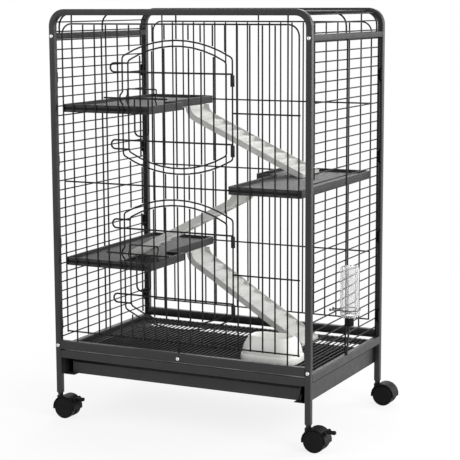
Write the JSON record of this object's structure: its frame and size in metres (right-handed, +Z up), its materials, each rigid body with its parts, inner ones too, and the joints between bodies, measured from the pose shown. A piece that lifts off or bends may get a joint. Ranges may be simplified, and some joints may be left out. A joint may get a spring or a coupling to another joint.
{
  "type": "small animal cage",
  "caption": "Tall wire cage for small animals on swivel casters, with arched front doors, moulded decks joined by ramps, a floor grate over a pull-out tray, a food bowl and a drinking bottle.",
  "frame": {"origin": "centre of the cage's bounding box, on the floor", "axes": "+Z up, the doors face -Y, +X to the right seen from the front"},
  "size_m": [0.7104, 0.464, 0.952],
  "materials": {
    "powder_coat": "charcoal powder coat",
    "deck_plastic": "dark grey moulded",
    "light_plastic": "warm light grey moulded",
    "clear_plastic": "clear",
    "black_plastic": "black moulded",
    "tray_plastic": "charcoal moulded",
    "screw_steel": "bright zinc",
    "spout_steel": "satin steel"
  },
  "bodies": {
    "cage": {"bottle_body": "clear_plastic", "bottle_cap": "black_plastic", "bottle_holder": "powder_coat", "bottle_spout": "spout_steel", "floor_grate": "powder_coat", "food_bowl": "light_plastic", "front_hoop": "powder_coat", "front_left_caster_stem": "spout_steel", "front_lower_rail": "powder_coat", "front_panel_border": "powder_coat", "front_panel_bottom": "powder_coat", "front_panel_left": "powder_coat", "front_panel_middle": "powder_coat", "front_panel_right": "powder_coat", "front_panel_top": "powder_coat", "front_right_caster_stem": "spout_steel", "front_upper_rail": "powder_coat", "left_base_rail": "powder_coat", "left_crossbar": "powder_coat", "left_panel": "powder_coat", "left_tray_runner": "powder_coat", "lower_deck": "deck_plastic", "lower_door_frame": "powder_coat", "lower_ramp": "light_plastic", "middle_deck": "deck_plastic", "middle_ramp": "light_plastic", "panel_clips": "black_plastic", "rear_hoop": "powder_coat", "rear_left_caster_stem": "spout_steel", "rear_lower_rail": "powder_coat", "rear_panel": "powder_coat", "rear_right_caster_stem": "spout_steel", "rear_upper_rail": "powder_coat", "right_base_rail": "powder_coat", "right_crossbar": "powder_coat", "right_panel": "powder_coat", "right_tray_runner": "powder_coat", "screws": "screw_steel", "top_panel": "powder_coat", "upper_deck": "deck_plastic", "upper_door_frame": "powder_coat", "upper_ramp": "light_plastic"},
    "upper_door": {"upper_door": "powder_coat", "upper_latch_guide": "powder_coat"},
    "upper_latch": {"upper_latch_bolt": "powder_coat"},
    "lower_door": {"lower_door": "powder_coat", "lower_latch_guide": "powder_coat"},
    "lower_latch": {"lower_latch_bolt": "powder_coat"},
    "tray": {"waste_tray": "tray_plastic"},
    "front_left_caster": {"front_left_caster_hood": "black_plastic"},
    "front_left_wheels": {"front_left_caster_wheels": "black_plastic"},
    "front_left_brake": {"front_left_caster_brake": "black_plastic"},
    "front_right_caster": {"front_right_caster_hood": "black_plastic"},
    "front_right_wheels": {"front_right_caster_wheels": "black_plastic"},
    "front_right_brake": {"front_right_caster_brake": "black_plastic"},
    "rear_left_caster": {"rear_left_caster_hood": "black_plastic"},
    "rear_left_wheels": {"rear_left_caster_wheels": "black_plastic"},
    "rear_right_caster": {"rear_right_caster_hood": "black_plastic"},
    "rear_right_wheels": {"rear_right_caster_wheels": "black_plastic"}
  },
  "joints": [
    {"name": "upper_door_hinge", "type": "hinge", "parent": "cage", "child": "upper_door", "pos_m": [0.1093, -0.212, 0.737], "axis": [0, 0, 1], "range_deg": [0, 120]},
    {"name": "upper_latch_slide", "type": "slide", "parent": "upper_door", "child": "upper_latch", "axis": [1, 0, 0], "range_m": [0, 0.014]},
    {"name": "lower_door_hinge", "type": "hinge", "parent": "cage", "child": "lower_door", "pos_m": [0.1093, -0.212, 0.385], "axis": [0, 0, 1], "range_deg": [0, 120]},
    {"name": "lower_latch_slide", "type": "slide", "parent": "lower_door", "child": "lower_latch", "axis": [1, 0, 0], "range_m": [0, 0.014]},
    {"name": "tray_slide", "type": "slide", "parent": "cage", "child": "tray", "axis": [0, -1, 0], "range_m": [0, 0.35]},
    {"name": "front_left_swivel", "type": "hinge", "parent": "cage", "child": "front_left_caster", "pos_m": [-0.3457, -0.212, 0.045], "axis": [0, 0, 1], "continuous": true},
    {"name": "front_left_wheel_spin", "type": "hinge", "parent": "front_left_caster", "child": "front_left_wheels", "pos_m": [-0.3267, -0.212, 0.025], "axis": [0, 1, 0], "continuous": true},
    {"name": "front_left_brake_press", "type": "hinge", "parent": "front_left_caster", "child": "front_left_brake", "pos_m": [-0.3018, -0.212, 0.04589], "axis": [0, 1, 0], "range_deg": [0, 18]},
    {"name": "front_right_swivel", "type": "hinge", "parent": "cage", "child": "front_right_caster", "pos_m": [0.2903, -0.212, 0.045], "axis": [0, 0, 1], "continuous": true},
    {"name": "front_right_wheel_spin", "type": "hinge", "parent": "front_right_caster", "child": "front_right_wheels", "pos_m": [0.3093, -0.212, 0.025], "axis": [0, 1, 0], "continuous": true},
    {"name": "front_right_brake_press", "type": "hinge", "parent": "front_right_caster", "child": "front_right_brake", "pos_m": [0.3342, -0.212, 0.04589], "axis": [0, 1, 0], "range_deg": [0, 18]},
    {"name": "rear_left_swivel", "type": "hinge", "parent": "cage", "child": "rear_left_caster", "pos_m": [-0.3457, 0.212, 0.045], "axis": [0, 0, 1], "continuous": true},
    {"name": "rear_left_wheel_spin", "type": "hinge", "parent": "rear_left_caster", "child": "rear_left_wheels", "pos_m": [-0.3267, 0.212, 0.025], "axis": [0, 1, 0], "continuous": true},
    {"name": "rear_right_swivel", "type": "hinge", "parent": "cage", "child": "rear_right_caster", "pos_m": [0.2903, 0.212, 0.045], "axis": [0, 0, 1], "continuous": true},
    {"name": "rear_right_wheel_spin", "type": "hinge", "parent": "rear_right_caster", "child": "rear_right_wheels", "pos_m": [0.3093, 0.212, 0.025], "axis": [0, 1, 0], "continuous": true}
  ]
}
